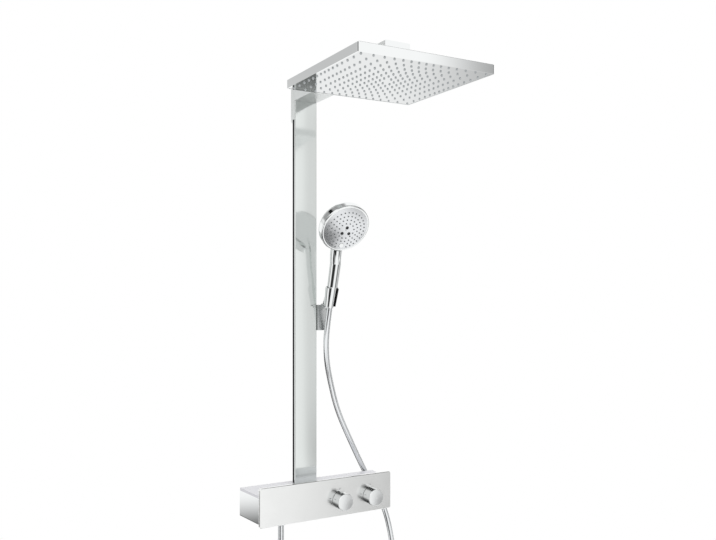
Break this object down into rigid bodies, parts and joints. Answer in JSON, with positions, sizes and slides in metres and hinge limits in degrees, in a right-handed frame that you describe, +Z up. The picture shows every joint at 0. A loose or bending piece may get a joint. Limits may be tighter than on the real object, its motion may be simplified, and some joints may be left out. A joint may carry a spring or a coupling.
{
  "type": "shower system",
  "caption": "Wall-mounted shower system: mixer with shelf and knobs, flat column, arm with square overhead shower, and a handset with hose on a sliding, tilting holder.",
  "frame": {"origin": "on the wall, halfway between the two water inlets, below the middle of the column", "axes": "+X to the right along the wall, +Y into the wall, +Z up the column"},
  "size_m": [0.4268, 0.5944, 1.4454],
  "materials": {
    "polished_chrome": "chrome plated, mirror polished",
    "polished_panel": "polished and bright plated extrusion",
    "plated_abs": "chrome plated ABS, mirror polished",
    "dark_profile": "black anodised extrusion",
    "arm_metal": "chrome plated extrusion",
    "raw_brass": "cast and turned brass",
    "plated_brass": "chrome plated brass",
    "stainless_sheet": "polished stainless steel sheet",
    "bracket_steel": "bright zinc plated steel",
    "copper_pipe": "drawn copper pipe",
    "grey_silicone": "moulded silicone",
    "black_rubber": "moulded rubber",
    "black_plastic": "moulded, fine texture",
    "white_plastic": "moulded, glossy",
    "grey_plastic": "moulded",
    "dark_jet": "moulded, glossy",
    "silver_hose": "smooth PVC over a metallised layer"
  },
  "bodies": {
    "root": {"front_plate": "polished_chrome", "tablet_casing": "plated_abs", "rear_cover": "black_plastic", "shelf_panel": "white_plastic", "valve_block": "raw_brass", "inlet_unions": "plated_brass", "union_nuts": "plated_brass", "inlet_filters": "black_rubber", "check_valves": "grey_plastic", "wall_rosettes": "plated_abs", "thermostat_cartridge": "grey_plastic", "diverter_cartridge": "grey_plastic", "cartridge_nuts": "raw_brass", "outlet_nipple": "plated_brass", "hose_washer_lower": "black_rubber", "hose_nut_lower": "plated_brass", "column_panel": "polished_panel", "column_carrier": "dark_profile", "riser_pipe": "copper_pipe", "pipe_clips": "black_plastic", "shower_arm": "arm_metal", "arm_end_cap": "plated_abs", "arm_elbow": "raw_brass", "arm_pipe": "copper_pipe", "head_feed_block": "raw_brass", "head_nipple": "plated_brass", "head_collar": "plated_abs", "wall_bracket": "arm_metal", "arm_bolts": "bracket_steel", "head_housing": "plated_abs", "spray_plate": "stainless_sheet", "head_gasket": "black_rubber", "spray_nozzles": "grey_silicone", "hose_at_handset": "silver_hose", "hose_at_holder": "silver_hose", "hose_hanging": "silver_hose", "hose_to_outlet": "silver_hose"},
    "temperature_control": {"temperature_knob": "plated_abs", "temperature_spindle": "raw_brass"},
    "safety_stop": {"safety_button": "plated_abs"},
    "diverter_control": {"diverter_knob": "plated_abs", "diverter_spindle": "raw_brass"},
    "slider": {"slider_block": "plated_abs", "holder_pin": "bracket_steel"},
    "slider_release": {"slider_button": "plated_abs"},
    "holder": {"holder_sleeve": "plated_abs", "sleeve_liner": "black_plastic"},
    "handset": {"handset_shell": "plated_abs", "handset_waterway": "grey_plastic", "handset_rim": "plated_abs", "handset_face": "white_plastic", "handset_nozzles": "grey_silicone", "handset_jets": "dark_jet", "hose_cone_nut": "plated_abs", "hose_washer_upper": "black_rubber"},
    "spray_select": {"select_button": "plated_abs"}
  },
  "joints": [
    {"name": "temperature_turn", "type": "hinge", "parent": "root", "child": "temperature_control", "pos_m": [0.054, -0.146, 0], "axis": [0, 1, 0], "range_deg": [-140, 60]},
    {"name": "safety_button_press", "type": "slide", "parent": "temperature_control", "child": "safety_stop", "axis": [0, 0, -1], "range_m": [0, 0.0015], "stiffness_N_per_m": 400},
    {"name": "diverter_turn", "type": "hinge", "parent": "root", "child": "diverter_control", "pos_m": [0.136, -0.146, 0], "axis": [0, 1, 0], "range_deg": [-90, 90]},
    {"name": "holder_slide", "type": "slide", "parent": "root", "child": "slider", "axis": [0, 0, 1], "range_m": [-0.15, 0.22], "deforming": ["hose_at_handset", "hose_at_holder", "hose_hanging"]},
    {"name": "slider_button_press", "type": "slide", "parent": "slider", "child": "slider_release", "axis": [0, 1, 0], "range_m": [0, 0.002], "stiffness_N_per_m": 600},
    {"name": "holder_tilt", "type": "hinge", "parent": "slider", "child": "holder", "pos_m": [0.046, -0.07448, 0.45347], "axis": [1, 0, 0], "range_deg": [-16, 20], "deforming": ["hose_at_handset", "hose_at_holder"]},
    {"name": "handset_lift", "type": "slide", "parent": "holder", "child": "handset", "axis": [0, -0.2756, 0.9613], "range_m": [0, 0.05], "deforming": ["hose_at_handset"]},
    {"name": "select_button_press", "type": "slide", "parent": "handset", "child": "spray_select", "axis": [0, 0.829, 0.5592], "range_m": [0, 0.002], "stiffness_N_per_m": 600}
  ]
}
